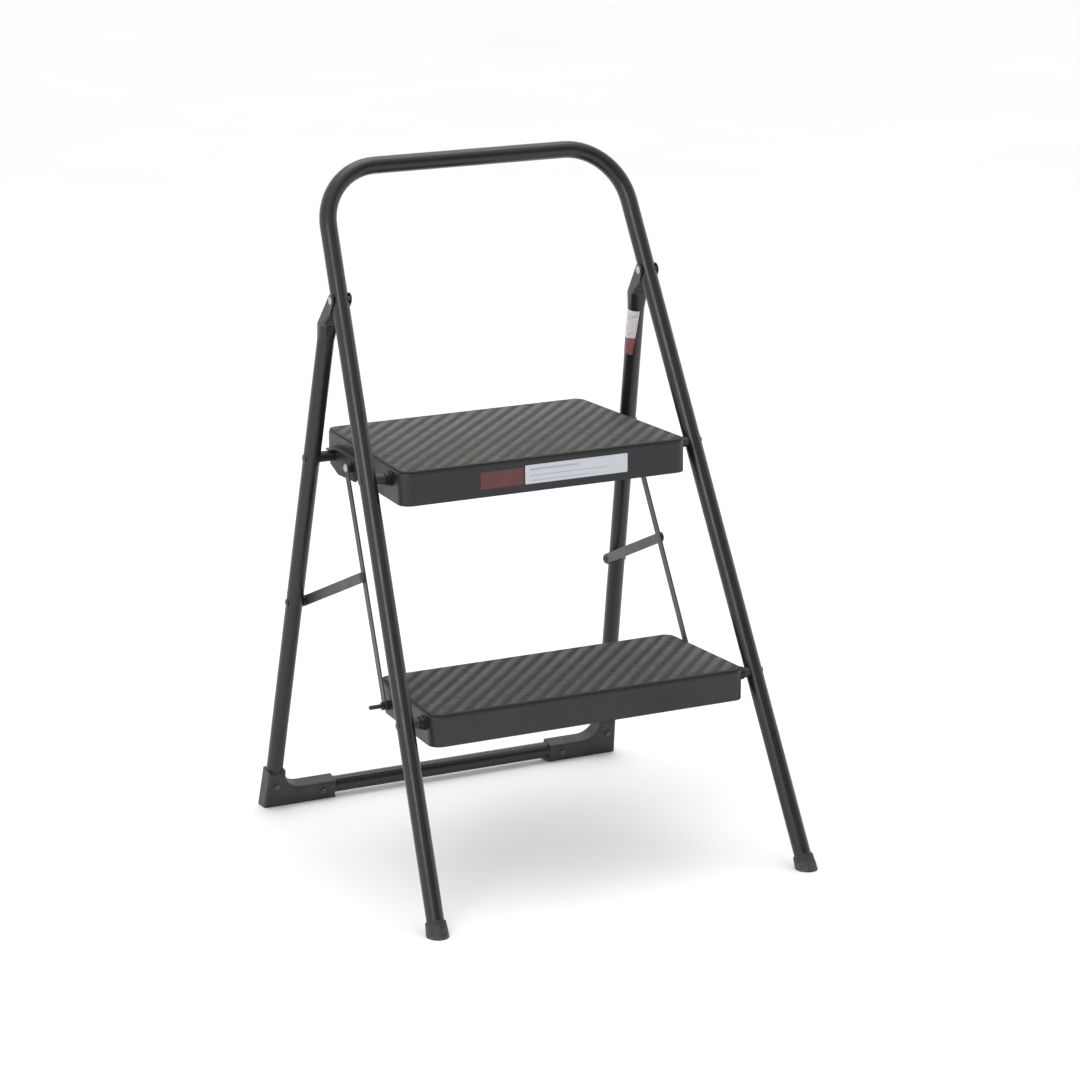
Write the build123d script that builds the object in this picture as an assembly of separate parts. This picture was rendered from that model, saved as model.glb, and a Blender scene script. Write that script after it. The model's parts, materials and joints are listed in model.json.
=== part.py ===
from build123d import *
from math import atan, cos, degrees, radians, sin, sqrt, tan
import os

# Two-step folding steel step stool, drawn open and standing.
# X runs left to right, Y runs from the front feet to the rear feet, Z is up.
# The drawing origin is on the floor under the front feet; every finished piece is
# moved back by origin_shift so that the kept origin is the centre of the footprint.

# ---------------------------------------------------------------- driving sizes (mm)
tube_diameter = 22.2
tube_wall = 1.2
overall_height = 886.0

# front frame: an inverted U, leaning back and spreading toward the floor
front_lean = 26.5
front_half_at_floor = 261.1
front_spread = 0.0577
front_bend_radius = 80.0

# rear frame: a U standing on its cross tube, leaning forward
rear_lean = 12.6
rear_floor_y = 546.0
rear_half_at_floor = 252.2
rear_spread = 0.0434
rear_bend_radius = 36.0
rear_bar_height = 15.6
rear_straight_top = 672.0
rear_pivot_height = 722.0
rear_fold = 37.0
fork_gap = 0.65
fork_thickness = 1.2
fork_radius = 8.0

# top step
top_height = 528.0
top_front_y = 215.8
top_depth = 271.2
top_half_front = 202.6
top_half_rear = 187.0
top_skirt = 45.0
top_rear_skirt = 22.0
top_slope_start = 398.0
top_slope_end = 432.0
top_pivot_drop = 15.7

# lower step
low_height = 249.0
low_front_y = 92.8
low_depth = 185.0
low_half_front = 222.0
low_half_rear = 211.5
low_skirt = 42.0
low_rear_skirt = 24.0
low_slope_start = 250.0
low_slope_end = 270.0
low_pivot_drop = 14.3

# pan sheet, tread mat and diagonal ribs
sheet = 1.2
corner_radius = 15.0
mat_thickness = 2.0
rib_height = 0.9
rib_width = 9.6
rib_pitch = 18.0
rib_angle = 46.0
mat_inset = 1.0

# hanger straps between the two steps, and short straps to the rear frame
arm_back = 120.8
arm_drop = 13.0
hanger_half_top = 207.0
hanger_half_low = 220.5
hanger_width = 10.6
hanger_thickness = 2.0
short_width = 13.2
short_thickness = 2.2
short_pin_height = 299.0
short_joint_up = 166.66
short_half_rear = 222.6

# pins
pivot_pin_diameter = 8.0
strap_pin_diameter = 6.0
rod_diameter = 5.6
rod_half = 242.0
bracket_rivet_diameter = 4.0
stud_diameter = 5.0
running_clearance = 0.06
side_gap = 0.4
head_seat = 0.15
bore_reach = 20.0

# rivet heads as (diameter, rise)
fork_head = (10.4, 1.1)
step_outer_head = (9.6, 0.6)
step_inner_head = (13.0, 2.0)
rest_head = (11.0, 0.8)
short_outer_head = (10.0, 1.6)
strap_head = (11.0, 2.4)
hanger_inner_head = (11.0, 2.2)
bracket_head = (6.6, 1.3)
stud_head = (10.0, 2.2)

# spacers and bushings at the step pivots
spacer_diameter = 14.0
bushing_diameter = 17.0
flange_diameter = 20.0
flange_thickness = 2.6
bushing_start = 0.9
bushing_end = 9.3

# rest pegs on the rear frame
rest_pin_diameter = 9.0
rest_sleeve_diameter = 14.0
rest_height = 502.4
rest_inner_half = 201.2

# rest brackets on the top step's skirts
bracket_front = 348.0
bracket_back = 446.0
bracket_web_half = 200.4
bracket_sheet = 2.0
bracket_rivet_height = 505.8
bracket_rivet_places = (356.0, 424.0)

# rubber tips
tube_start = 8.0
foot_top = 18.5
foot_flare_radius = 14.1

# corner shoes
shoe_top = 55.0
shoe_reach = 102.0
shoe_skin = 1.5
shoe_thin = 0.7
shoe_round = 4.0
screw_up = 34.0
screw_along = 70.0

# blank labels and sticker
label_size = (146.0, 24.5, 0.6)
label_x = 41.0
label_drop = 22.5
red_size = (60.0, 22.0, 0.4)
red_x = -64.6
red_drop = 23.5
sticker_low = 616.0
sticker_high = 679.0

# ---------------------------------------------------------------- derived sizes
tube_radius = tube_diameter / 2
front_tan = tan(radians(front_lean))
rear_tan = tan(radians(rear_lean))
top_pivot_z = top_height - top_pivot_drop
top_pivot_y = front_tan * top_pivot_z
low_pivot_z = low_height - low_pivot_drop
low_pivot_y = front_tan * low_pivot_z
rear_pivot_y = front_tan * rear_pivot_height
hanger_top_y = top_pivot_y + arm_back
hanger_top_z = top_pivot_z - arm_drop
hanger_low_y = low_pivot_y + arm_back
hanger_low_z = low_pivot_z - arm_drop
rest_y = rear_floor_y - rear_tan * rest_height
short_pin_y = rear_floor_y - rear_tan * short_pin_height
short_joint_y = hanger_low_y + short_joint_up * sin(radians(front_lean))
short_joint_z = hanger_low_z + short_joint_up * cos(radians(front_lean))
pan_top_drop = mat_thickness + rib_height
foot_reach = foot_flare_radius / cos(radians(front_lean))
shoe_back = 13.1
origin_shift = (rear_floor_y + shoe_back - foot_reach) / 2


def front_half(z):
    """Half spacing of the front legs' centre lines at height z."""
    return front_half_at_floor - front_spread * z


def rear_half(z):
    """Half spacing of the rear legs' centre lines at height z."""
    return rear_half_at_floor - rear_spread * z


def hanger_half(z):
    """Half spacing of the hanger straps' centre planes at height z."""
    share = (z - hanger_low_z) / (hanger_top_z - hanger_low_z)
    return hanger_half_low + (hanger_half_top - hanger_half_low) * share


def top_half(y):
    """Half width of the top step's pan at depth y."""
    return top_half_front - (top_half_front - top_half_rear) * (y - top_front_y) / top_depth


def low_half(y):
    """Half width of the lower step's pan at depth y."""
    return low_half_front - (low_half_front - low_half_rear) * (y - low_front_y) / low_depth


def x_rod(x_from, x_to, y, z, diameter):
    """Round bar along X between two x positions."""
    length = abs(x_to - x_from)
    middle = (x_from + x_to) / 2
    return Pos(middle, y, z) * Rot(0, 90, 0) * Cylinder(diameter / 2, length)


def x_ring(x_from, x_to, y, z, outer, inner):
    """Round sleeve along X between two x positions."""
    ring = x_rod(x_from, x_to, y, z, outer)
    return ring - x_rod(x_from - 1, x_to + 1, y, z, inner)


def dome_edge(x_face, direction, head, rise):
    """Half outline of a low domed head standing on x_face: the arc from its crown to its rim."""
    radius = head / 2
    ball = (radius * radius + rise * rise) / (2 * rise)
    mid_radius = 0.55 * radius
    mid_rise = rise - ball + sqrt(ball * ball - mid_radius * mid_radius)
    crown = (x_face + direction * rise, 0)
    middle = (x_face + direction * mid_rise, mid_radius)
    rim = (x_face, radius)
    return crown, middle, rim


def rivet(x_left, x_right, y, z, shank, left_head, right_head):
    """Rivet along X; each head is (diameter, rise), or None for a plain end."""
    radius = shank / 2
    edges = []
    start = (x_left, 0)
    if left_head:
        crown, middle, rim = dome_edge(x_left, -1, *left_head)
        edges.append(ThreePointArc(crown, middle, rim))
        edges.append(Line(rim, (x_left, radius)))
        start = crown
    else:
        edges.append(Line((x_left, 0), (x_left, radius)))
    edges.append(Line((x_left, radius), (x_right, radius)))
    if right_head:
        crown, middle, rim = dome_edge(x_right, 1, *right_head)
        edges.append(Line((x_right, radius), rim))
        edges.append(ThreePointArc(rim, middle, crown))
        end = crown
    else:
        edges.append(Line((x_right, radius), (x_right, 0)))
        end = (x_right, 0)
    edges.append(Line(end, start))
    body = revolve(make_face(edges), axis=Axis.X)
    return Pos(0, y, z) * body


def front_leg(z, radius, length):
    """Solid bar along the left front leg's axis, centred at height z."""
    origin = (-front_half(z), front_tan * z, z)
    return Plane(origin=origin, z_dir=Vector(front_spread, front_tan, 1)) * Cylinder(radius, length)


def rear_leg(z, radius, length):
    """Solid bar along the left rear leg's axis, centred at height z."""
    origin = (-rear_half(z), rear_floor_y - rear_tan * z, z)
    return Plane(origin=origin, z_dir=Vector(rear_spread, -rear_tan, 1)) * Cylinder(radius, length)


def mirrored(piece):
    """The same piece on the right-hand side."""
    return piece.mirror(Plane.YZ)


def pair(piece):
    """Left and right copies as one group."""
    return Compound(list(piece.solids()) + list(mirrored(piece).solids()))


def place(piece):
    """Move a finished piece to the kept origin."""
    return piece.moved(Location((0, -origin_shift, 0)))


# ---------------------------------------------------------------- front frame
def front_plane():
    lean = radians(front_lean)
    return Plane(origin=(0, 0, 0), x_dir=(1, 0, 0), z_dir=(0, -cos(lean), sin(lean)))


def front_frame_tube():
    plane = front_plane()
    slope = front_spread * cos(radians(front_lean))
    top = (overall_height - tube_radius) / cos(radians(front_lean))
    start = tube_start
    points = [
        (-(front_half_at_floor - slope * start), start),
        (-(front_half_at_floor - slope * top), top),
        (front_half_at_floor - slope * top, top),
        (front_half_at_floor - slope * start, start),
    ]
    path = plane * FilletPolyline(*points, radius=front_bend_radius)
    end = path @ 0
    ring_plane = Plane(origin=end, z_dir=path % 0)
    ring = ring_plane * (Circle(tube_radius) - Circle(tube_radius - tube_wall))
    tube = sweep(ring, path=path)
    holes = []
    for y, z, size in (
        (rear_pivot_y, rear_pivot_height, pivot_pin_diameter),
        (top_pivot_y, top_pivot_z, pivot_pin_diameter),
        (low_pivot_y, low_pivot_z, pivot_pin_diameter),
    ):
        half = front_half(z)
        for side in (-1, 1):
            holes.append(x_rod(side * (half - bore_reach), side * (half + bore_reach), y, z, size))
    for hole in holes:
        tube -= hole
    return tube


def front_foot():
    """Rubber tip on the left front leg: a sleeve around the tube, flared and flat underneath."""
    axis = Vector(front_spread, front_tan, 1).normalized()
    start = Vector(-front_half_at_floor, 0, 0)
    plane = Plane(origin=start, x_dir=(1, 0, 0), z_dir=axis)
    profile = Polyline(
        (0, -20),
        (foot_flare_radius, -20),
        (foot_flare_radius, 4),
        (foot_flare_radius - 0.6, 9),
        (tube_radius + 1.9, foot_top - 1.2),
        (tube_radius + 0.9, foot_top),
        (tube_radius, foot_top),
        (tube_radius, tube_start),
        (0, tube_start),
        close=True,
    )
    foot = revolve(make_face(Plane.XZ * profile), axis=Axis.Z)
    foot = plane * foot
    above = Pos(-front_half_at_floor, 0, 100) * Box(200, 200, 200)
    return foot & above


def rear_pivot_rivets():
    """Rivets through the front tubes and the forks of the rear legs."""
    half = front_half(rear_pivot_height)
    reach = fork_half_width() + side_gap + front_spread * fork_radius
    y, z = rear_pivot_y, rear_pivot_height
    return pair(rivet(-half - reach, -half + reach, y, z, pivot_pin_diameter, fork_head, fork_head))


def step_pin(y, z, skirt_face):
    """Pivot rivets of a step: through the tube, the spacer and the step's skirt."""
    outer = front_half(z) + tube_radius + head_seat
    inner = skirt_face - sheet - 0.8
    return pair(rivet(-outer, -inner, y, z, pivot_pin_diameter, step_outer_head, step_inner_head))


def step_spacer(y, z, skirt_face):
    """Steel sleeve between the tube and the plastic bushing."""
    outer = front_half(z) - tube_radius + 2.0
    inner = skirt_face + bushing_end + 0.1
    sleeve = x_ring(-outer, -inner, y, z, spacer_diameter, pivot_pin_diameter + 0.1)
    return pair(sleeve - front_leg(z, tube_radius + 0.02, 60))


def step_bushing(y, z, skirt_face):
    """Black plastic flanged bushing against the step's skirt."""
    outer = skirt_face + bushing_end
    inner = skirt_face + bushing_start
    bore = pivot_pin_diameter + 0.1
    ring = x_ring(-outer, -inner, y, z, bushing_diameter, bore)
    ring += x_ring(-inner - flange_thickness, -inner, y, z, flange_diameter, bore)
    return pair(ring)


# ---------------------------------------------------------------- rear frame
def rear_plane():
    lean = radians(rear_lean)
    return Plane(origin=(0, rear_floor_y, 0), x_dir=(1, 0, 0), z_dir=(0, -cos(lean), -sin(lean)))


def fork_half_width():
    """Half width of a rear leg's fork across its two ears."""
    return tube_radius + fork_gap + fork_thickness


def fork_section(x, height, half_width, half_depth, corner):
    """Rounded section of the left leg's fork, centred at x and level with the given height."""
    y = rear_floor_y - rear_tan * height
    plane = Plane(origin=(-x, y, height), x_dir=(1, 0, 0), z_dir=Vector(0, -rear_tan, 1))
    return (plane * RectangleRounded(2 * half_width, 2 * half_depth, corner)).face()


def rear_fork():
    """Left leg's crimped end: two ears that straddle the front tube, cut back on a slant behind."""
    base = rear_straight_top - 8.0
    crimp = rear_straight_top + 14.0
    axis = Vector(rear_spread, -rear_tan, 1)
    start = (-rear_half(base), rear_floor_y - rear_tan * base, base)
    round_face = (Plane(origin=start, x_dir=(1, 0, 0), z_dir=axis) * Circle(tube_radius)).face()
    crimp_face = fork_section(rear_half(crimp), crimp, fork_half_width() - 0.4, 12.0, 9.0)
    top = rear_pivot_height + 20.0
    top_face = fork_section(front_half(top), top, fork_half_width(), 60.0, 9.0)
    swell = loft([round_face, crimp_face])
    ears = loft([crimp_face, top_face])
    base_circle = Pos(rear_floor_y - rear_tan * (base + 4.0), base + 4.0) * Circle(tube_radius + 0.6)
    eye_circle = Pos(rear_pivot_y, rear_pivot_height) * Circle(fork_radius)
    outline = make_hull(base_circle.edges() + eye_circle.edges())
    half = front_half(rear_pivot_height)
    side_view = Pos(-half, 0, 0) * extrude(Plane.YZ * outline, 30.0, both=True)
    stub = (swell + ears) & side_view
    folded_lean = radians(front_lean - rear_fold)
    behind = Vector(cos(folded_lean), -sin(folded_lean))
    face = Vector(rear_pivot_y, rear_pivot_height) + behind * (tube_radius + 0.5)
    along = Vector(sin(folded_lean), cos(folded_lean))
    high = face + along * 40
    low = face - along * 90
    corners = [high, low, low - behind * 60, high - behind * 60]
    slot_outline = make_face(Polyline(*[(c.X, c.Y) for c in corners], close=True))
    slot_half = tube_radius + fork_gap
    slot = extrude(Plane.YZ * slot_outline, slot_half, both=True)
    tilt = Rot(0, degrees(atan(front_spread)), 0)
    pivot = Pos(-half, rear_pivot_y, rear_pivot_height)
    slot = pivot * tilt * Pos(0, -rear_pivot_y, -rear_pivot_height) * slot
    return stub - slot


def rear_frame_tube():
    plane = rear_plane()
    cosine = cos(radians(rear_lean))
    slope = rear_spread * cosine
    bottom = rear_bar_height / cosine
    top = rear_straight_top / cosine
    half_low = rear_half_at_floor - slope * bottom
    half_top = rear_half_at_floor - slope * top
    points = [(-half_top, top), (-half_low, bottom), (half_low, bottom), (half_top, top)]
    path = plane * FilletPolyline(*points, radius=rear_bend_radius)
    ring_plane = Plane(origin=path @ 0, z_dir=path % 0)
    ring = ring_plane * (Circle(tube_radius) - Circle(tube_radius - tube_wall))
    tube = sweep(ring, path=path)
    end = rear_fork()
    tube = tube + end + mirrored(end)
    bore = pivot_pin_diameter + 2 * running_clearance
    for side in (-1, 1):
        for half, y, z, size in (
            (front_half(rear_pivot_height), rear_pivot_y, rear_pivot_height, bore),
            (rear_half(short_pin_height), short_pin_y, short_pin_height, strap_pin_diameter),
            (rear_half(rest_height), rest_y, rest_height, rest_pin_diameter),
        ):
            tube -= x_rod(side * (half - bore_reach), side * (half + bore_reach), y, z, size)
    return tube


def rear_shoe():
    """Left plastic corner cover: a close shell round the bend on a thick flat sole."""
    half = rear_half(rear_bar_height)
    cosine = cos(radians(rear_lean))
    slope = rear_spread * cosine
    plane = rear_plane()
    low = -30.0
    outer = half + tube_radius + shoe_skin
    inner_leg = half - tube_radius - shoe_thin
    bar_top = rear_bar_height / cosine + tube_radius + shoe_thin
    bar_low = rear_bar_height / cosine - tube_radius
    outline = Polyline(
        (-(outer + 3.5), low),
        (-(outer - slope * shoe_top + 0.3), shoe_top),
        (-(inner_leg - slope * shoe_top), shoe_top),
        (-inner_leg, bar_top),
        (-(outer - shoe_reach), bar_top),
        (-(outer - shoe_reach), bar_low + 1.0),
        (-(outer - shoe_reach + 14 + low), low),
        close=True,
    )
    face = make_face(outline)
    corner = face.vertices().sort_by_distance((-inner_leg, bar_top, 0))[0]
    face = fillet(corner, rear_bend_radius - tube_radius - shoe_thin)
    depth = tube_radius + shoe_skin
    body = extrude(plane * face, depth, both=True)
    body = fillet(body.faces().filter_by(plane).edges(), shoe_round)
    floor = Pos(0, rear_floor_y, 150) * Box(800, 400, 300)
    body = body & floor
    path_points = [
        (-(half - slope * (90 - rear_bar_height / cosine)), 90),
        (-half, rear_bar_height / cosine),
        (-(half - 160), rear_bar_height / cosine),
    ]
    path = plane * FilletPolyline(*path_points, radius=rear_bend_radius)
    core = sweep(Plane(origin=path @ 0, z_dir=path % 0) * Circle(tube_radius + 0.05), path=path)
    return body - core


def shoe_screws():
    """Cross-head screws that hold each shoe, one on the leg and one on the cross tube."""
    cosine = cos(radians(rear_lean))
    plane = rear_plane()
    face = tube_radius + shoe_skin
    pieces = []
    half = rear_half(rear_bar_height)
    for x, v in ((-(half - 1.2), screw_up), (-(half - screw_along), rear_bar_height / cosine)):
        head = Pos(x, v, face) * Cylinder(3.6, 1.8, align=(Align.CENTER, Align.CENTER, Align.MIN))
        slot = Pos(x, v, face + 1.3) * Box(4.4, 0.9, 1.2)
        cross = Pos(x, v, face + 1.3) * Box(0.9, 4.4, 1.2)
        pieces.append(plane * (head - slot - cross))
    return pair(Compound([solid for piece in pieces for solid in piece.solids()]))


def rest_pins():
    """Steel pins through the rear legs that carry the rest sleeves."""
    outer = rear_half(rest_height) + tube_radius + head_seat
    y, z = rest_y, rest_height
    return pair(rivet(-outer, -rest_inner_half, y, z, rest_pin_diameter, rest_head, None))


def rest_sleeves():
    """Black plastic sleeves on the rest pins, under the top step's brackets."""
    outer = rear_half(rest_height) - tube_radius + 2.0
    y, z = rest_y, rest_height
    sleeve = x_ring(-outer, -rest_inner_half, y, z, rest_sleeve_diameter, rest_pin_diameter)
    return pair(sleeve - rear_leg(rest_height, tube_radius + 0.02, 60))


def short_pins():
    """Rivets through the rear legs that carry the short straps."""
    outer = rear_half(short_pin_height) + tube_radius + head_seat
    inner = short_half_rear - short_thickness / 2 - side_gap - 0.2
    y, z = short_pin_y, short_pin_height
    return pair(rivet(-outer, -inner, y, z, strap_pin_diameter, short_outer_head, strap_head))


def short_spacers():
    """Plastic washers between the rear legs and the short straps."""
    y, z = short_pin_y, short_pin_height
    outer = rear_half(z) - tube_radius + 1.2
    inner = short_half_rear + short_thickness / 2 + side_gap
    washer = x_ring(-outer, -inner, y, z, 15.0, strap_pin_diameter + 0.1)
    return pair(washer - rear_leg(z, tube_radius + 0.02, 60))


def leg_sticker():
    """Small blank sticker wrapped round the upper part of the right rear leg."""
    cosine = cos(radians(rear_lean))
    plane = rear_plane()
    middle = (sticker_low + sticker_high) / 2
    length = sticker_high - sticker_low
    x = rear_half(middle * cosine)
    lean_in = degrees(atan(rear_spread * cosine))
    shell = Cylinder(tube_radius + 0.35, length) - Cylinder(tube_radius + 0.02, length + 2)
    keep = Pos(-13, -4, 0) * Rot(0, 5, 0) * Box(20, 22, 80)
    base = plane.from_local_coords((x, middle, 0))
    local = Rot(0, -lean_in, 0) * (shell & keep)
    return Pos(*base) * Rot(rear_lean, 0, 0) * local


# ---------------------------------------------------------------- step pans
def pan_outline(half_front, half_rear, front_y, depth, inset):
    """Tapered outline with rounded corners, shrunk evenly by inset."""
    face = make_face(
        Polyline(
            (-half_front, front_y),
            (half_front, front_y),
            (half_rear, front_y + depth),
            (-half_rear, front_y + depth),
            close=True,
        )
    )
    face = fillet(face.vertices(), corner_radius)
    if inset > 0:
        face = offset(face, -inset)
    return face


def pan(half_front, half_rear, front_y, depth, top, skirt, rear_skirt, slope_from, slope_to):
    """Pressed sheet pan: flat top, rounded upper edge and a skirt that is shallower at the back."""
    outer = extrude(Pos(0, 0, top - skirt) * pan_outline(half_front, half_rear, front_y, depth, 0), skirt)
    outer = fillet(outer.faces().sort_by(Axis.Z)[-1].edges(), 3.0)
    inner = extrude(
        Pos(0, 0, top - skirt - 1) * pan_outline(half_front, half_rear, front_y, depth, sheet),
        skirt + 1 - sheet,
    )
    inner = fillet(inner.faces().sort_by(Axis.Z)[-1].edges(), 1.8)
    shell = outer - inner
    back = front_y + depth + 20
    cut = Polyline(
        (slope_from, top - skirt - 5),
        (slope_from, top - skirt),
        (slope_to, top - rear_skirt),
        (back, top - rear_skirt),
        (back, top - skirt - 5),
        close=True,
    )
    side_cut = extrude(Plane.YZ * make_face(cut), 400, both=True)
    return shell - side_cut


def tread(half_front, half_rear, front_y, depth, top):
    """Moulded tread mat with broad diagonal ribs."""
    outline = pan_outline(half_front, half_rear, front_y, depth, mat_inset)
    base = extrude(Pos(0, 0, top) * outline, mat_thickness)
    inner_outline = pan_outline(half_front, half_rear, front_y, depth, mat_inset + 3.5)
    limit = extrude(Pos(0, 0, top + mat_thickness - 0.2) * inner_outline, rib_height + 0.4)
    centre_y = front_y + depth / 2
    reach = sqrt(half_front ** 2 + (depth / 2) ** 2)
    count = int(reach / rib_pitch) + 1
    bars = []
    for index in range(-count, count + 1):
        bar = Pos(0, index * rib_pitch, 0) * Box(2.2 * reach, rib_width, rib_height + 0.2)
        bar = chamfer(bar.faces().sort_by(Axis.Z)[-1].edges().filter_by(Axis.X), 0.7)
        bars.append(bar)
    lift = top + mat_thickness - 0.2 + (rib_height + 0.2) / 2
    group = Pos(0, centre_y, lift) * Rot(0, 0, rib_angle)
    ribs = [limit & (group * bar) for bar in bars]
    mat = base
    for rib in ribs:
        if rib is not None and rib.volume > 1.0:
            mat = mat + rib
    return mat


def stiffener(half_width, y, top, width, depth):
    """Inverted hat channel welded across the underside of a pan."""
    outer = Pos(0, y, top - sheet - depth / 2) * Box(2 * half_width, width, depth)
    inner = Pos(0, y, top - sheet - depth / 2 + 1.2) * Box(2 * half_width + 2, width - 2.4, depth)
    flanges = Pos(0, y, top - sheet - 0.6) * Box(2 * half_width, width + 24, 1.2)
    gap = Pos(0, y, top - sheet - 0.6) * Box(2 * half_width + 2, width - 2.4, 2)
    return (outer - inner) + (flanges - gap)


# ---------------------------------------------------------------- top step
def top_step_pan():
    top = top_height - pan_top_drop
    body = pan(
        top_half_front, top_half_rear, top_front_y, top_depth, top,
        top_skirt - pan_top_drop, top_rear_skirt, top_slope_start, top_slope_end,
    )
    bore = pivot_pin_diameter + 2 * running_clearance
    inner, outer = top_half_rear - 2 * bore_reach, top_half_front + bore_reach
    for side in (-1, 1):
        body -= x_rod(side * inner, side * outer, top_pivot_y, top_pivot_z, bore)
        body -= x_rod(side * inner, side * outer, hanger_top_y, hanger_top_z, strap_pin_diameter)
        for y in bracket_rivet_places:
            body -= x_rod(side * inner, side * outer, y, bracket_rivet_height, bracket_rivet_diameter)
    return body


def top_step_tread():
    top = top_height - pan_top_drop
    return tread(top_half_front, top_half_rear, top_front_y, top_depth, top)


def rest_bracket():
    """Left bracket: a channel on the skirt whose lip sits on the rest sleeve."""
    lip_low = rest_height + rest_sleeve_diameter / 2 + 0.3
    lip_high = lip_low + bracket_sheet
    front, back = bracket_front, bracket_back
    web = Polyline(
        (front, lip_high),
        (back, lip_high),
        (back, 497.0),
        (back - 3, 489.5),
        (418.0, 480.0),
        (front + 16, 482.0),
        (front, 494.0),
        close=True,
    )
    plate = Pos(-bracket_web_half, 0, 0) * extrude(Plane.YZ * make_face(web), 1.6)
    middle, lip_height = (front + back) / 2, (lip_low + lip_high) / 2
    lid = Pos(-bracket_web_half + 8, middle, lip_height) * Box(16, back - front, bracket_sheet)
    near = top_half(front) + 0.05
    far = top_half(back) + 0.05
    inner_edge = Polyline(
        (-near, front),
        (-far, back),
        (-far - bracket_sheet, back),
        (-near - bracket_sheet, front),
        close=True,
    )
    flap = extrude(Pos(0, 0, lip_high - 9.2) * make_face(inner_edge), 9.2)
    outer_side = Polyline((-near, front), (-far, back), (-240, back), (-240, front), close=True)
    keep = extrude(Pos(0, 0, 470) * make_face(outer_side), 60)
    lip = Pos(-(rest_inner_half + 2.3), rest_y, lip_height) * Box(8.0, 13.0, bracket_sheet)
    bracket = (plate + lid + flap) & keep
    bracket = bracket + lip
    inner, outer = top_half_rear - 2 * bore_reach, top_half_front + bore_reach
    bracket -= x_rod(-outer, -inner, hanger_top_y, hanger_top_z, strap_pin_diameter)
    for y in bracket_rivet_places:
        bracket -= x_rod(-outer, -inner, y, bracket_rivet_height, bracket_rivet_diameter)
    return bracket


def bracket_rivets():
    """Small rivets through the bracket and the skirt."""
    group = []
    size, head = bracket_rivet_diameter, bracket_head
    for y in bracket_rivet_places:
        face = top_half(y) + bracket_sheet + 0.3
        back = top_half(y) - sheet - 0.4
        group += rivet(-face, -back, y, bracket_rivet_height, size, head, head).solids()
    return pair(Compound(group))


def hanger_top_pins():
    """Rivets that carry the hanger straps on the top step."""
    outer = hanger_half_top + hanger_thickness / 2 + side_gap + 0.2
    inner = top_half(hanger_top_y) - sheet - 0.5
    y, z = hanger_top_y, hanger_top_z
    return pair(rivet(-outer, -inner, y, z, strap_pin_diameter, strap_head, hanger_inner_head))


def hanger_top_spacers():
    """Black plastic spacers between the brackets and the hanger straps."""
    y, z = hanger_top_y, hanger_top_z
    outer = hanger_half_top - hanger_thickness / 2 - side_gap
    inner = bracket_web_half + 0.1
    return pair(x_ring(-outer, -inner, y, z, 13.0, strap_pin_diameter + 0.1))


def label_plate():
    """Blank silver label on the top step's front skirt."""
    width, height, thickness = label_size
    centre = Pos(label_x, top_front_y - thickness / 2, top_height - label_drop)
    plate = centre * Box(width, thickness, height)
    return fillet(plate.edges().filter_by(Axis.Y), 1.2)


def red_label():
    """Plain muted red label beside the silver one."""
    width, height, thickness = red_size
    centre = Pos(red_x, top_front_y - thickness / 2, top_height - red_drop)
    plate = centre * Box(width, thickness, height)
    return fillet(plate.edges().filter_by(Axis.Y), 1.2)


# ---------------------------------------------------------------- lower step
def lower_step_pan():
    top = low_height - pan_top_drop
    body = pan(
        low_half_front, low_half_rear, low_front_y, low_depth, top,
        low_skirt - pan_top_drop, low_rear_skirt, low_slope_start, low_slope_end,
    )
    bore = pivot_pin_diameter + 2 * running_clearance
    inner, outer = low_half_rear - bore_reach, low_half_front + bore_reach
    for side in (-1, 1):
        body -= x_rod(side * inner, side * outer, low_pivot_y, low_pivot_z, bore)
        body -= x_rod(side * inner, side * outer, hanger_low_y, hanger_low_z, rod_diameter)
    return body


def lower_step_tread():
    top = low_height - pan_top_drop
    return tread(low_half_front, low_half_rear, low_front_y, low_depth, top)


def lower_step_rod():
    """Cross rod through the lower step's skirts that carries the hanger straps."""
    rod = x_rod(-rod_half, rod_half, hanger_low_y, hanger_low_z, rod_diameter)
    ends = rod.faces().filter_by(Axis.X)
    return chamfer(ends.edges(), 0.8)


def rod_spacers():
    """Plastic spacers on the rod between the skirt and the hanger straps."""
    outer = hanger_half_low - hanger_thickness / 2 - side_gap
    inner = low_half(hanger_low_y) + 0.5
    return pair(x_ring(-outer, -inner, hanger_low_y, hanger_low_z, 12.0, rod_diameter + 0.05))


def rod_collars():
    """Push-on retainers outside the hanger straps."""
    inner = hanger_half_low + hanger_thickness / 2 + side_gap
    ring = x_ring(-inner - 2.6, -inner, hanger_low_y, hanger_low_z, 11.0, rod_diameter)
    return pair(ring)


# ---------------------------------------------------------------- straps
def strap(start, end, width, thickness, start_bore, end_bore):
    """Flat strap with round ends between two pin centres, holes drilled along X."""
    a = Vector(*start)
    b = Vector(*end)
    run = (b - a).normalized()
    normal = run.cross(Vector(1, 0, 0)).cross(run).normalized()
    plane = Plane(origin=(a + b) * 0.5, x_dir=run, z_dir=normal)
    length = (b - a).length
    body = extrude(plane * SlotCenterToCenter(length, width), thickness / 2, both=True)
    for point, bore in ((a, start_bore), (b, end_bore)):
        body -= Pos(*point) * Rot(0, 90, 0) * Cylinder(bore / 2, 30)
    return body


def hanger_strap():
    top = (-hanger_half_top, hanger_top_y, hanger_top_z)
    low = (-hanger_half_low, hanger_low_y, hanger_low_z)
    return strap(
        top, low, hanger_width, hanger_thickness,
        strap_pin_diameter + 2 * running_clearance, rod_diameter + 0.8,
    )


def short_strap():
    rear = (-short_half_rear, short_pin_y, short_pin_height)
    half = short_front_half()
    front = (-half, short_joint_y, short_joint_z)
    return strap(
        rear, front, short_width, short_thickness,
        strap_pin_diameter + 2 * running_clearance, stud_diameter,
    )


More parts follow.
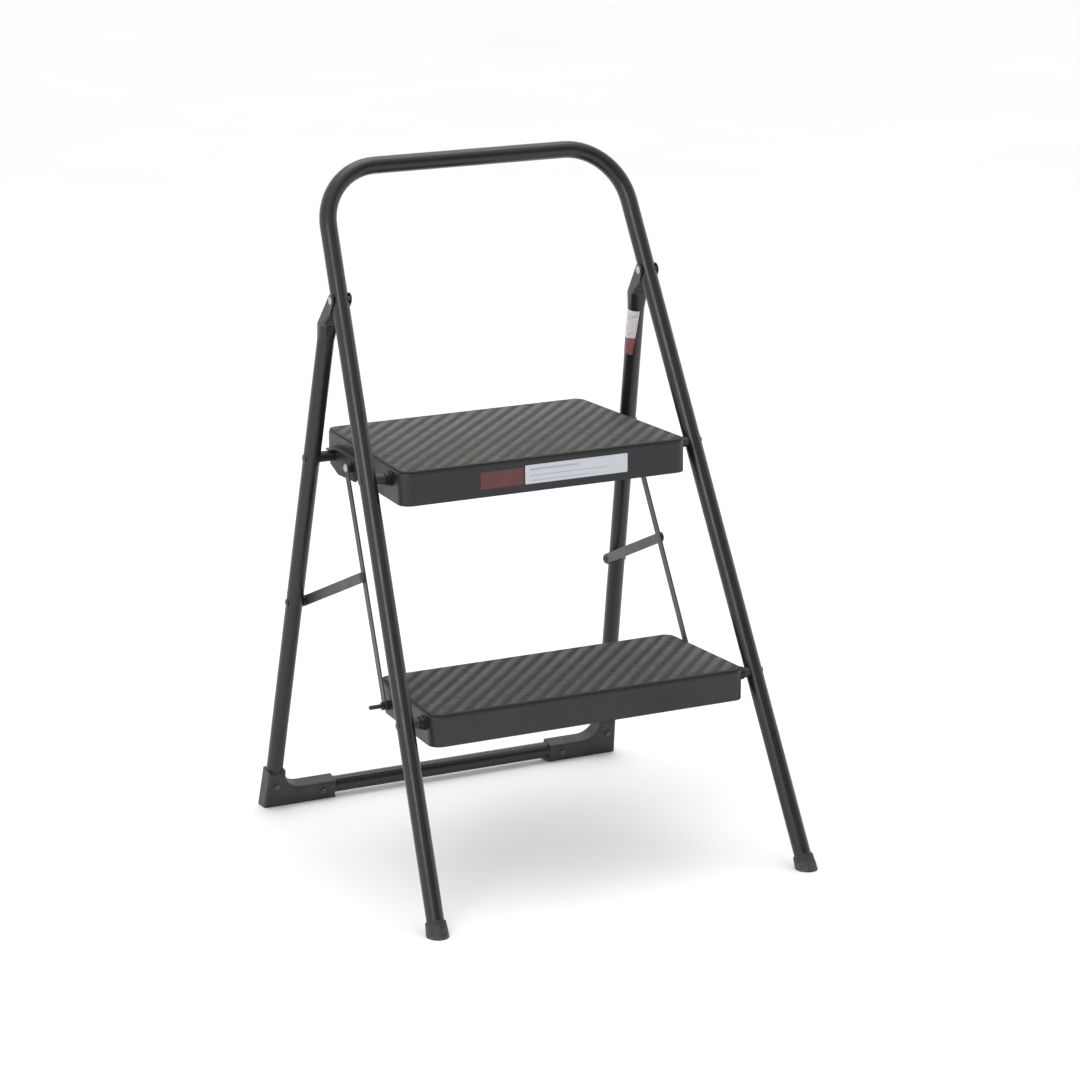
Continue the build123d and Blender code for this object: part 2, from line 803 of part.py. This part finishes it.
def short_front_half():
    """Centre plane of the short strap's front end, just outside the hanger strap."""
    return hanger_half(short_joint_z) + hanger_thickness / 2 + 1.1 + short_thickness / 2


def short_studs():
    """Rivet in the short strap's front end, domed on the outside."""
    x = short_front_half()
    outer = x + short_thickness / 2 + 0.3
    inner = x - short_thickness / 2 + 0.3
    return rivet(-outer, -inner, short_joint_y, short_joint_z, stud_diameter, stud_head, None)


def build_all():
    """Every node of the stool, by name."""
    top_face = top_half(top_pivot_y)
    low_face = low_half(low_pivot_y)
    foot = front_foot()
    shoe = rear_shoe()
    bracket = rest_bracket()
    hanger = hanger_strap()
    short = short_strap()
    stud = short_studs()
    top_plate = top_height - pan_top_drop
    low_plate = low_height - pan_top_drop
    return {
        "front_frame_tube": front_frame_tube(),
        "front_foot_left": foot,
        "front_foot_right": mirrored(foot),
        "rear_pivot_rivets": rear_pivot_rivets(),
        "top_pivot_rivets": step_pin(top_pivot_y, top_pivot_z, top_face),
        "top_pivot_spacers": step_spacer(top_pivot_y, top_pivot_z, top_face),
        "top_pivot_bushings": step_bushing(top_pivot_y, top_pivot_z, top_face),
        "lower_pivot_rivets": step_pin(low_pivot_y, low_pivot_z, low_face),
        "lower_pivot_spacers": step_spacer(low_pivot_y, low_pivot_z, low_face),
        "lower_pivot_bushings": step_bushing(low_pivot_y, low_pivot_z, low_face),
        "rear_frame_tube": rear_frame_tube(),
        "rear_shoe_left": shoe,
        "rear_shoe_right": mirrored(shoe),
        "rear_shoe_screws": shoe_screws(),
        "rest_pins": rest_pins(),
        "rest_sleeves": rest_sleeves(),
        "short_strap_pins": short_pins(),
        "short_strap_washers": short_spacers(),
        "leg_sticker": leg_sticker(),
        "top_step_pan": top_step_pan(),
        "top_step_tread": top_step_tread(),
        "top_step_stiffener": stiffener(178.0, 330.0, top_plate, 46.0, 12.0),
        "top_rest_bracket_left": bracket,
        "top_rest_bracket_right": mirrored(bracket),
        "top_bracket_rivets": bracket_rivets(),
        "hanger_top_pins": hanger_top_pins(),
        "hanger_top_spacers": hanger_top_spacers(),
        "label_plate": label_plate(),
        "label_red": red_label(),
        "lower_step_pan": lower_step_pan(),
        "lower_step_tread": lower_step_tread(),
        "lower_step_stiffener": stiffener(198.0, 176.0, low_plate, 40.0, 12.0),
        "lower_step_rod": lower_step_rod(),
        "lower_rod_spacers": rod_spacers(),
        "lower_rod_collars": rod_collars(),
        "hanger_strap_left": hanger,
        "hanger_strap_right": mirrored(hanger),
        "short_strap_left": short,
        "short_strap_right": mirrored(short),
        "short_strap_stud_left": stud,
        "short_strap_stud_right": mirrored(stud),
    }


if __name__ == "__main__":
    os.makedirs("parts", exist_ok=True)
    for name, piece in build_all().items():
        placed = place(piece)
        solids = placed.solids()
        export_step(Compound(list(solids)) if len(solids) > 1 else solids[0], f"parts/{name}.step")
        box = placed.bounding_box()
        print(name, len(solids), [round(v, 1) for v in (*box.min, *box.max)])
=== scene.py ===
import json
import math
import bmesh
import bpy
from mathutils import Matrix, Vector


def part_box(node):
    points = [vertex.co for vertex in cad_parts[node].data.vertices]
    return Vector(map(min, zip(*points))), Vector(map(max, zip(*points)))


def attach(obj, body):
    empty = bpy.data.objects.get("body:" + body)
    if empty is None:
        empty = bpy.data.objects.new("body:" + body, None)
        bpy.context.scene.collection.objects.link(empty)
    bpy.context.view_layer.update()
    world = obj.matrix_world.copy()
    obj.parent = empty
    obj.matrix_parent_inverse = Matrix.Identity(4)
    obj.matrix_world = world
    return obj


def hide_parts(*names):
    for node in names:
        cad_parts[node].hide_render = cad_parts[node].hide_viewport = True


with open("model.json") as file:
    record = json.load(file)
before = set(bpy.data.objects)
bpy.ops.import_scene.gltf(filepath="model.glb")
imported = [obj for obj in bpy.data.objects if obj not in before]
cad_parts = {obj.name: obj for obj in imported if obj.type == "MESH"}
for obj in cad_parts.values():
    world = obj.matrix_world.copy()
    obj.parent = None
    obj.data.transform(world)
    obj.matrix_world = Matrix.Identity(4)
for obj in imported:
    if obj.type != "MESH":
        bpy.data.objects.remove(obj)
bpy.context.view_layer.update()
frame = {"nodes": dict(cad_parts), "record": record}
nodes_by_name = frame["nodes"]

# Sizes are in metres; texture scales are in cells per metre. Colours are linear.
MM = 0.001
DUST = (0.20, 0.195, 0.185)
PLASTIC_DUST = (0.16, 0.155, 0.15)
FLOOR_DUST = (0.13, 0.125, 0.118)
TREAD_GRIT = (0.24, 0.235, 0.22)
PAPER_FIBRE = (0.5, 0.46, 0.44)
WORN_PRINT = (0.26, 0.19, 0.19)
EDGE = 0.2 * MM
STICKER_RED_SHARE = 0.36
# Rows of the silver label as shares of its height and width: bottom, top, end.
LABEL_ROWS = ((0.14, 0.20, 0.62), (0.40, 0.46, 0.80), (0.70, 0.82, 0.52))
LABEL_MARGIN = 0.04
TIP_DUST_HEIGHT = 22.0 * MM


# ---------------------------------------------------------------- material helpers
class Look:
    """One procedural material being built: the shader, its coordinates and short node makers."""

    def __init__(self, name):
        self.material = bpy.data.materials.new(name)
        self.material.use_nodes = True
        self.tree = self.material.node_tree
        self.shader = self.tree.nodes["Principled BSDF"]
        self.place = self.tree.nodes.new("ShaderNodeTexCoord").outputs["Object"]

    def link(self, source, target):
        self.tree.links.new(source, target)

    def stretched(self, scale, turn=(0, 0, 0)):
        """Coordinates scaled per axis, in cells per metre."""
        node = self.tree.nodes.new("ShaderNodeMapping")
        node.inputs["Scale"].default_value = scale
        node.inputs["Rotation"].default_value = turn
        self.link(self.place, node.inputs["Vector"])
        return node.outputs["Vector"]

    def axes(self):
        """Node whose outputs X, Y and Z are the place in the object's own frame."""
        node = self.tree.nodes.new("ShaderNodeSeparateXYZ")
        self.link(self.place, node.inputs[0])
        return node

    def noise(self, scale, detail=3.0, roughness=0.55, vector=None):
        node = self.tree.nodes.new("ShaderNodeTexNoise")
        node.inputs["Scale"].default_value = scale
        node.inputs["Detail"].default_value = detail
        node.inputs["Roughness"].default_value = roughness
        self.link(vector or self.place, node.inputs["Vector"])
        return node.outputs["Fac"]

    def cells(self, scale, vector=None):
        node = self.tree.nodes.new("ShaderNodeTexVoronoi")
        node.inputs["Scale"].default_value = scale
        self.link(vector or self.place, node.inputs["Vector"])
        return node.outputs["Distance"]

    def span(self, value, low, high, to_low, to_high):
        """Value mapped from one range to another, clamped."""
        node = self.tree.nodes.new("ShaderNodeMapRange")
        node.inputs["From Min"].default_value = low
        node.inputs["From Max"].default_value = high
        node.inputs["To Min"].default_value = to_low
        node.inputs["To Max"].default_value = to_high
        self.link(value, node.inputs["Value"])
        return node.outputs["Result"]

    def blend(self, factor, first, second):
        """Mix of two colours; each is a colour or a socket."""
        node = self.tree.nodes.new("ShaderNodeMix")
        node.data_type = "RGBA"
        self.link(factor, node.inputs["Factor"])
        for value, name in ((first, "A"), (second, "B")):
            socket = next(s for s in node.inputs if s.name == name and s.type == "RGBA")
            if isinstance(value, tuple):
                socket.default_value = (*value, 1.0)
            else:
                self.link(value, socket)
        return next(s for s in node.outputs if s.type == "RGBA")

    def sum(self, first, second, weight):
        """first + second * weight."""
        node = self.tree.nodes.new("ShaderNodeMath")
        node.operation = "MULTIPLY_ADD"
        self.link(second, node.inputs[0])
        node.inputs[1].default_value = weight
        self.link(first, node.inputs[2])
        return node.outputs[0]

    def times(self, first, second):
        node = self.tree.nodes.new("ShaderNodeMath")
        node.operation = "MULTIPLY"
        self.link(first, node.inputs[0])
        self.link(second, node.inputs[1])
        return node.outputs[0]

    def bands(self, stripes):
        """1 inside any of the level stripes given as (low, high, x from, x to), 0 elsewhere."""
        split = self.axes()
        total = None
        for low, high, start, end in stripes:
            share = self.times(
                self.span(split.outputs["Z"], low, low + EDGE, 0.0, 1.0),
                self.span(split.outputs["Z"], high - EDGE, high, 1.0, 0.0),
            )
            across = self.times(
                self.span(split.outputs["X"], start, start + EDGE, 0.0, 1.0),
                self.span(split.outputs["X"], end - EDGE, end, 1.0, 0.0),
            )
            share = self.times(share, across)
            total = share if total is None else self.sum(total, share, 1.0)
        return total

    def bump(self, height, depth, strength=1.0, below=None):
        """Bump whose full range of height stands for depth in metres."""
        node = self.tree.nodes.new("ShaderNodeBump")
        node.inputs["Strength"].default_value = strength
        node.inputs["Distance"].default_value = depth
        self.link(height, node.inputs["Height"])
        if below is not None:
            self.link(below, node.inputs["Normal"])
        return node.outputs["Normal"]

    def set(self, **values):
        for name, value in values.items():
            self.shader.inputs[name.replace("_", " ")].default_value = value

    def finish(self, colour, roughness, normal):
        self.link(colour, self.shader.inputs["Base Color"])
        self.link(roughness, self.shader.inputs["Roughness"])
        self.link(normal, self.shader.inputs["Normal"])
        return self.material


def shade(colour, factor):
    return tuple(min(1.0, c * factor) for c in colour)


def enamel(name, colour, gloss, peel=0.00004, dust=0.10):
    """Black baked enamel: faint orange peel, soft mottling, a little dust and a few fine scuffs."""
    look = Look(name)
    broad = look.span(look.noise(9.0, 3.0), 0.35, 0.68, 0.0, 1.0)
    tint = look.blend(broad, shade(colour, 0.88), shade(colour, 1.18))
    specks = look.span(look.noise(2300.0, 2.0), 0.66, 0.74, 0.0, dust)
    tint = look.blend(specks, tint, DUST)
    streaks = look.stretched((900.0, 900.0, 38.0), (0.46, 0.0, 0.3))
    patches = look.span(look.noise(26.0, 2.0), 0.60, 0.72, 0.0, 1.0)
    scuffs = look.times(look.span(look.noise(1.0, 2.0, vector=streaks), 0.62, 0.70, 0.0, 0.35), patches)
    tint = look.blend(scuffs, tint, shade(colour, 2.6))
    smear = look.span(look.noise(34.0, 5.0, 0.6), 0.3, 0.72, gloss - 0.06, gloss + 0.09)
    rough = look.sum(smear, scuffs, 0.35)
    wavy = look.noise(620.0, 2.0, 0.45)
    fine = look.noise(2600.0, 1.0, 0.4)
    normal = look.bump(look.sum(wavy, fine, 0.3), peel)
    look.set(IOR=1.5)
    return look.finish(tint, rough, normal)


def moulded(name, colour, gloss, grain=1500.0, depth=0.00006):
    """Moulded black plastic: fine spark-eroded grain, slightly cloudy colour."""
    look = Look(name)
    cloud = look.span(look.noise(48.0, 4.0), 0.32, 0.7, 0.0, 1.0)
    tint = look.blend(cloud, shade(colour, 0.8), shade(colour, 1.3))
    dust = look.span(look.noise(420.0, 5.0, 0.7), 0.6, 0.78, 0.0, 0.22)
    tint = look.blend(dust, tint, PLASTIC_DUST)
    rough = look.span(look.noise(95.0, 3.0), 0.3, 0.7, gloss - 0.07, gloss + 0.08)
    normal = look.bump(look.noise(grain, 2.0, 0.6), depth)
    look.set(IOR=1.48)
    return look.finish(tint, rough, normal)


def rubber(name, colour):
    """Black rubber: dull, dusty toward the floor, with a fine mould grain."""
    look = Look(name)
    low = look.span(look.axes().outputs["Z"], 0.0, TIP_DUST_HEIGHT, 0.55, 0.0)
    smudge = look.times(low, look.span(look.noise(160.0, 5.0, 0.7), 0.35, 0.65, 0.1, 1.0))
    cloud = look.span(look.noise(60.0, 4.0), 0.3, 0.7, 0.0, 1.0)
    tint = look.blend(cloud, shade(colour, 0.85), shade(colour, 1.25))
    tint = look.blend(smudge, tint, FLOOR_DUST)
    rough = look.span(look.noise(130.0, 4.0), 0.3, 0.7, 0.55, 0.74)
    normal = look.bump(look.noise(1900.0, 3.0, 0.65), 0.00007)
    look.set(IOR=1.5)
    return look.finish(tint, rough, normal)


def dark_steel(name, colour, gloss, metallic=0.85):
    """Blackened steel of rivets, spacers and the rod: turned lines and handling marks."""
    look = Look(name)
    cloud = look.span(look.noise(220.0, 4.0), 0.3, 0.72, 0.0, 1.0)
    tint = look.blend(cloud, shade(colour, 0.75), shade(colour, 1.35))
    rub = look.span(look.noise(900.0, 3.0), 0.62, 0.74, 0.0, 0.4)
    tint = look.blend(rub, tint, shade(colour, 2.4))
    lines = look.noise(1.0, 1.0, vector=look.stretched((2600.0, 160.0, 160.0)))
    rough = look.span(look.noise(300.0, 4.0), 0.3, 0.7, gloss - 0.08, gloss + 0.1)
    normal = look.bump(lines, 0.00002)
    look.set(Metallic=metallic)
    return look.finish(tint, rough, normal)


def vinyl(name, colour, crest, valley):
    """Ribbed tread mat: pebbled dark vinyl, with painted shade darkening the valleys between the ribs
    and a little random rub on the crests.
    """
    look = Look(name)
    up = look.span(look.axes().outputs["Z"], valley, crest, 0.0, 1.0)
    cloud = look.span(look.noise(22.0, 5.0, 0.6), 0.3, 0.7, 0.0, 1.0)
    base = look.blend(cloud, shade(colour, 0.85), shade(colour, 1.15))
    # Painted shade: the valleys between the ribs are darkened to a fifth of the mat colour, and random
    # rub varies the crests.
    valley_shade_and_rub = look.times(up, look.span(look.noise(75.0, 5.0, 0.7), 0.35, 0.68, 0.55, 1.0))
    tint = look.blend(valley_shade_and_rub, shade(colour, 0.20), base)
    grit = look.span(look.noise(1500.0, 3.0, 0.7), 0.6, 0.74, 0.0, 0.35)
    tint = look.blend(grit, tint, TREAD_GRIT)
    rough = look.sum(look.span(look.noise(140.0, 4.0), 0.3, 0.7, 0.60, 0.76), up, -0.06)
    pebble = look.span(look.cells(1150.0), 0.0, 0.6, 0.0, 1.0)
    waves = look.noise(210.0, 3.0)
    normal = look.bump(pebble, 0.00006, below=look.bump(waves, 0.00016))
    look.set(IOR=1.38)
    return look.finish(tint, rough, normal)


def foil(name, colour, stripes):
    """Silver foil label with plain grey stripes: satin, faint brushing and small handling dents."""
    look = Look(name)
    brushing = look.noise(1.0, 3.0, vector=look.stretched((60.0, 60.0, 4200.0)))
    tone = look.span(brushing, 0.3, 0.7, 0.0, 1.0)
    tint = look.blend(tone, shade(colour, 0.93), shade(colour, 1.04))
    worn = look.span(look.noise(170.0, 5.0, 0.7), 0.62, 0.8, 0.0, 0.4)
    tint = look.blend(worn, tint, shade(colour, 0.7))
    tint = look.blend(look.bands(stripes), tint, shade(colour, 0.72))
    rough = look.span(look.noise(90.0, 4.0), 0.3, 0.7, 0.34, 0.52)
    normal = look.bump(brushing, 0.00002, below=look.bump(look.noise(120.0, 2.0), 0.0002))
    look.set(Metallic=0.25)
    return look.finish(tint, rough, normal)


def printed(name, colour):
    """Plain printed label paper with a satin film over it."""
    look = Look(name)
    mottle = look.span(look.noise(130.0, 5.0, 0.65), 0.3, 0.72, 0.0, 1.0)
    tint = look.blend(mottle, shade(colour, 0.88), shade(colour, 1.08))
    rub = look.span(look.noise(420.0, 5.0, 0.75), 0.62, 0.76, 0.0, 0.45)
    tint = look.blend(rub, tint, PAPER_FIBRE)
    rough = look.span(look.noise(150.0, 3.0), 0.3, 0.7, 0.4, 0.55)
    normal = look.bump(look.noise(1400.0, 4.0, 0.6), 0.00003)
    return look.finish(tint, rough, normal)


def two_tone(name, upper, lower):
    """Plain sticker, white above and muted red below, with rubbed print."""
    look = Look(name)
    low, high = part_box("leg_sticker")
    border = low.z + STICKER_RED_SHARE * (high.z - low.z)
    share = look.span(look.axes().outputs["Z"], border, border + 2 * EDGE, 0.0, 1.0)
    tint = look.blend(share, lower, upper)
    rub = look.span(look.noise(260.0, 4.0, 0.7), 0.50, 0.68, 0.0, 0.7)
    tint = look.blend(rub, tint, WORN_PRINT)
    rough = look.span(look.noise(150.0, 3.0), 0.3, 0.7, 0.38, 0.55)
    normal = look.bump(look.noise(1400.0, 4.0, 0.6), 0.00003)
    return look.finish(tint, rough, normal)


def label_stripes():
    """Level stripes that stand for the rows of the silver label."""
    low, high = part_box("label_plate")
    height = high.z - low.z
    width = high.x - low.x
    margin = low.x + LABEL_MARGIN * width
    return [
        (low.z + bottom * height, low.z + top * height, margin, low.x + end * width)
        for bottom, top, end in LABEL_ROWS
    ]


# ---------------------------------------------------------------- materials
FRAME_COLOUR = (0.011, 0.011, 0.012)
STEP_COLOUR = (0.014, 0.014, 0.0165)
TREAD_COLOUR = (0.088, 0.088, 0.078)

looks = {
    "frame_paint": enamel("frame_enamel", FRAME_COLOUR, 0.27),
    "step_paint": enamel("step_enamel", STEP_COLOUR, 0.42, peel=0.00005),
    "bracket_paint": enamel("bracket_enamel", (0.012, 0.012, 0.013), 0.45),
    "strap_paint": enamel("strap_enamel", (0.048, 0.048, 0.05), 0.40),
    "rivet_steel": dark_steel("rivet_black_oxide", (0.07, 0.07, 0.073), 0.38),
    "rivet_zinc": dark_steel("rivet_bright_zinc", (0.46, 0.46, 0.47), 0.36, 0.95),
    "screw_steel": dark_steel("screw_black_zinc", (0.11, 0.11, 0.112), 0.34),
    "spacer_steel": dark_steel("spacer_dark_steel", (0.045, 0.045, 0.047), 0.42, 0.5),
    "rod_steel": dark_steel("rod_dark_steel", (0.07, 0.07, 0.072), 0.4),
    "bushing_plastic": moulded("bushing_black_nylon", (0.006, 0.006, 0.007), 0.5),
    "shoe_plastic": moulded("shoe_black_plastic", (0.024, 0.024, 0.026), 0.5, 900.0, 0.0001),
    "foot_rubber": rubber("tip_black_rubber", (0.014, 0.014, 0.015)),
    "label_silver": foil("label_silver_foil", (0.60, 0.63, 0.67), label_stripes()),
    "label_red": printed("label_muted_red", (0.12, 0.035, 0.033)),
    "sticker_paper": two_tone("sticker_white_and_red", (0.70, 0.66, 0.67), (0.24, 0.07, 0.065)),
}

slot_of = {s["node"]: s["material_slot"] for s in frame["record"]["subparts"]}


def dress(obj, material):
    obj.data.materials.clear()
    obj.data.materials.append(material)


for node_name, node_object in nodes_by_name.items():
    if slot_of[node_name] in looks:
        dress(node_object, looks[slot_of[node_name]])


# ---------------------------------------------------------------- mesh helpers
def add_mesh(name, make, material, smooth=True):
    """Object from a function that fills a bmesh."""
    mesh = bpy.data.meshes.new(name)
    bm = bmesh.new()
    make(bm)
    bmesh.ops.recalc_face_normals(bm, faces=bm.faces)
    bm.to_mesh(mesh)
    bm.free()
    obj = bpy.data.objects.new(name, mesh)
    bpy.context.scene.collection.objects.link(obj)
    mesh.materials.append(material)
    if smooth:
        mesh.polygons.foreach_set("use_smooth", [True] * len(mesh.polygons))
    return obj


def rounded_outline(corners, radius, arc_steps):
    """Points round a convex outline, counter-clockwise, each corner an arc of that radius."""
    points = []
    count = len(corners)
    for index in range(count):
        here = Vector(corners[index])
        before = (Vector(corners[index - 1]) - here).normalized()
        after = (Vector(corners[(index + 1) % count]) - here).normalized()
        half = before.angle(after) / 2
        reach = radius / math.tan(half)
        centre = here + (before + after).normalized() * (radius / math.sin(half))
        start = here + before * reach - centre
        turn = math.pi - 2 * half
        for step in range(arc_steps + 1):
            angle = turn * step / arc_steps
            spun = Matrix.Rotation(angle, 2) @ start
            points.append(centre + spun)
    return points


def inset_corners(corners, inset):
    """Corners of the outline moved inward evenly."""
    result = []
    count = len(corners)
    for index in range(count):
        here = Vector(corners[index])
        before = (Vector(corners[index - 1]) - here).normalized()
        after = (Vector(corners[(index + 1) % count]) - here).normalized()
        half = before.angle(after) / 2
        result.append(here + (before + after).normalized() * (inset / math.sin(half)))
    return result


# ---------------------------------------------------------------- treads
RIB_PITCH = 18.0 * MM
RIB_ANGLE = math.radians(46.0)
RIB_HEIGHT = 0.9 * MM
MAT_CORNER = 14.0 * MM
RIB_BORDER = 2.0 * MM
RIB_FADE = 1.6 * MM
RIB_STEPS = 10
CORNER_STEPS = 8
# Rounded rim of the mat as (inset, drop below its flat top), from the edge inward.
MAT_RIM = ((0.0, 0.55 * MM), (0.25 * MM, 0.25 * MM), (0.8 * MM, 0.06 * MM), (1.6 * MM, 0.0))


def tread_corners(node):
    """Four corners of the mat's tapered outline, read from the CAD mat's widest points."""
    low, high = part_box(node)
    points = [v.co for v in nodes_by_name[node].data.vertices]
    edge = MAT_CORNER + 2 * MM
    front = max(abs(p.x) for p in points if p.y < low.y + edge)
    back = max(abs(p.x) for p in points if p.y > high.y - edge)
    slope = (front - back) / (high.y - low.y - 2 * MAT_CORNER)
    front_half = front + slope * MAT_CORNER
    back_half = back - slope * MAT_CORNER
    return [(-front_half, low.y), (front_half, low.y), (back_half, high.y), (-back_half, high.y)]


def rib_wave(across):
    """Height share of the soft diagonal ribs at a distance across them."""
    phase = 2 * math.pi * across / RIB_PITCH
    wave = 0.5 + 0.5 * math.cos(phase)
    return wave * wave * (3 - 2 * wave)


def mat_loops(bm, corners, bottom, top):
    """Closed loops of vertices from the mat's foot, up over its rim, to the start of the ribs."""
    levels = [(0.0, bottom)]
    levels += [(inset, top - drop) for inset, drop in MAT_RIM]
    levels += [(RIB_BORDER, top), (RIB_BORDER + RIB_FADE, top)]
    loops = []
    for inset, z in levels:
        outline = rounded_outline(inset_corners(corners, inset), MAT_CORNER - inset, CORNER_STEPS)
        loops.append([bm.verts.new((p.x, p.y, z)) for p in outline])
    return loops


def cut_along_ribs(bm, region, centre, across_dir, reach):
    """Slice the ribbed region along the ribs, finely enough for their rounded section."""
    geometry = set(region)
    for face in region:
        geometry.update(face.edges)
        geometry.update(face.verts)
    lines = int(reach / RIB_PITCH) * RIB_STEPS
    for line in range(-lines, lines + 1):
        point = centre + across_dir * (line * RIB_PITCH / RIB_STEPS)
        result = bmesh.ops.bisect_plane(
            bm, geom=[g for g in geometry if g.is_valid],
            plane_co=(point.x, point.y, 0), plane_no=(across_dir.x, across_dir.y, 0), dist=1e-7,
        )
        geometry = set(result["geom"])


def raise_ribs(bm, corners, top, centre, across_dir):
    """Lift the sliced surface into soft ribs that fade out at the plain border."""
    border = inset_corners(corners, RIB_BORDER)
    for vert in bm.verts:
        if vert.co.z < top - 0.01 * MM:
            continue
        inside = inside_distance(vert.co, border, MAT_CORNER - RIB_BORDER)
        share = min(1.0, max(0.0, inside / RIB_FADE))
        if share > 0:
            across = (Vector((vert.co.x, vert.co.y)) - centre).dot(across_dir)
            vert.co.z = top + RIB_HEIGHT * rib_wave(across) * share


def ribbed_tread(name, node, body, material):
    """Mat with soft diagonal ribs and a plain border, standing for the CAD mat."""
    low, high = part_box(node)
    corners = tread_corners(node)
    top = high.z - RIB_HEIGHT
    centre = Vector((0.0, (low.y + high.y) / 2))
    across_dir = Vector((-math.sin(RIB_ANGLE), math.cos(RIB_ANGLE)))

    def fill(bm):
        loops = mat_loops(bm, corners, low.z, top)
        for lower, upper in zip(loops, loops[1:]):
            for index in range(len(lower)):
                after = (index + 1) % len(lower)
                bm.faces.new((lower[index], lower[after], upper[after], upper[index]))
        middle = bm.faces.new(loops[-1])
        bm.faces.new(list(reversed(loops[0])))
        ribbed = set(loops[-1] + loops[-2])
        region = [middle] + [f for f in bm.faces if all(v in ribbed for v in f.verts)]
        cut_along_ribs(bm, region, centre, across_dir, (high - low).length / 2)
        raise_ribs(bm, corners, top, centre, across_dir)

    obj = add_mesh(name, fill, material)
    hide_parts(node)
    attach(obj, body)


def inside_distance(point, corners, radius):
    """How far a point lies inside a convex outline with rounded corners."""
    here = Vector((point.x, point.y))
    core = inset_corners(corners, radius)
    worst = -1.0
    count = len(core)
    outside = None
    for index in range(count):
        a, b = Vector(core[index]), Vector(core[(index + 1) % count])
        along = (b - a).normalized()
        normal = Vector((along.y, -along.x))
        depth = (here - a).dot(normal)
        if depth > worst:
            worst = depth
        if depth > 0:
            t = max(0.0, min((b - a).length, (here - a).dot(along)))
            gap = (here - (a + along * t)).length
            outside = gap if outside is None else min(outside, gap)
    if worst <= 0:
        return radius - worst
    return radius - outside


for step in ("top_step", "lower_step"):
    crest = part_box(f"{step}_tread")[1].z
    mat_vinyl = vinyl(f"{step}_tread_vinyl", TREAD_COLOUR, crest, crest - RIB_HEIGHT)
    ribbed_tread(f"{step}_ribbed_mat", f"{step}_tread", step, mat_vinyl)


# ---------------------------------------------------------------- stage, light, camera
WORLD_DARK = 0.22
WORLD_BRIGHT = 1.25
WORLD_TINT = (0.99, 0.995, 1.0, 1.0)
KEY_PLACE = (-2.4, -2.2, 2.3)
KEY_SIZE = 1.6
KEY_POWER = 35.0
TOP_PLACE = (0.4, 0.6, 3.2)
TOP_SIZE = 2.0
TOP_POWER = 25.0
LIGHT_TARGET = (0.0, 0.0, 0.4)
FLOOR_HALF = 30.0
FLOOR_TONES = ((0.90, 0.90, 0.90), (0.93, 0.93, 0.93))
CAMERA_PLACE = (-2.0831, -4.1648, 1.6644)
CAMERA_GAZE = (0.44197, 0.85754, -0.26325)
CAMERA_LENS = 125.15
CAMERA_SENSOR = 36.0
CAMERA_SHIFT = (-0.0297, 0.0065)


def stage_floor():
    """Plain pale floor."""
    look = Look("pale_floor")
    tone = look.span(look.noise(1.2, 3.0), 0.3, 0.7, 0.0, 1.0)
    tint = look.blend(tone, *FLOOR_TONES)
    rough = look.span(look.noise(5.0, 3.0), 0.3, 0.7, 0.62, 0.7)
    material = look.finish(tint, rough, look.bump(look.noise(90.0, 3.0), 0.0001))

    def fill(bm):
        signs = ((-1, -1), (1, -1), (1, 1), (-1, 1))
        bm.faces.new([bm.verts.new((x * FLOOR_HALF, y * FLOOR_HALF, 0)) for x, y in signs])

    floor = add_mesh("studio_floor", fill, material, smooth=False)


def soft_box(name, place, size, power):
    """Square area light that faces the object."""
    data = bpy.data.lights.new(name, "AREA")
    data.shape = "RECTANGLE"
    data.size = size
    data.size_y = size
    data.energy = power
    lamp = bpy.data.objects.new(name, data)
    bpy.context.scene.collection.objects.link(lamp)
    lamp.location = place
    lamp.rotation_euler = (Vector(LIGHT_TARGET) - Vector(place)).to_track_quat("-Z", "Y").to_euler()


def stage_light():
    """Bright sweep above, behind and at both sides, with a darker room in front."""
    world = bpy.data.worlds.new("studio_world")
    world.use_nodes = True
    tree = world.node_tree
    background = tree.nodes["Background"]
    split = tree.nodes.new("ShaderNodeSeparateXYZ")
    tree.links.new(tree.nodes.new("ShaderNodeTexCoord").outputs["Generated"], split.inputs[0])

    def ramp(value, low, high):
        node = tree.nodes.new("ShaderNodeMapRange")
        node.inputs["From Min"].default_value = low
        node.inputs["From Max"].default_value = high
        tree.links.new(value, node.inputs["Value"])
        return node.outputs["Result"]

    def join(operation, first, second=None):
        node = tree.nodes.new("ShaderNodeMath")
        node.operation = operation
        tree.links.new(first, node.inputs[0])
        if second is not None:
            tree.links.new(second, node.inputs[1])
        return node.outputs[0]

    behind = ramp(split.outputs["Y"], -0.1, 0.5)
    above = ramp(split.outputs["Z"], 0.45, 0.85)
    sides = ramp(join("ABSOLUTE", split.outputs["X"]), 0.62, 0.9)
    bright = join("MAXIMUM", join("MAXIMUM", behind, above), sides)
    level = tree.nodes.new("ShaderNodeMapRange")
    level.inputs["To Min"].default_value = WORLD_DARK
    level.inputs["To Max"].default_value = WORLD_BRIGHT
    tree.links.new(bright, level.inputs["Value"])
    tree.links.new(level.outputs["Result"], background.inputs["Strength"])
    background.inputs["Color"].default_value = WORLD_TINT
    bpy.context.scene.world = world
    soft_box("key_left", KEY_PLACE, KEY_SIZE, KEY_POWER)
    soft_box("top_fill", TOP_PLACE, TOP_SIZE, TOP_POWER)
    bpy.context.scene.view_settings.view_transform = "Standard"


def stage_camera():
    """Camera at the reference viewing angle: slightly above, from the front left."""
    data = bpy.data.cameras.new("reference_camera")
    data.sensor_width = CAMERA_SENSOR
    data.lens = CAMERA_LENS
    data.shift_x, data.shift_y = CAMERA_SHIFT
    camera = bpy.data.objects.new("reference_camera", data)
    bpy.context.scene.collection.objects.link(camera)
    camera.location = CAMERA_PLACE
    camera.rotation_euler = Vector(CAMERA_GAZE).to_track_quat("-Z", "Y").to_euler()
    bpy.context.scene.camera = camera


stage_floor()
stage_light()
stage_camera()
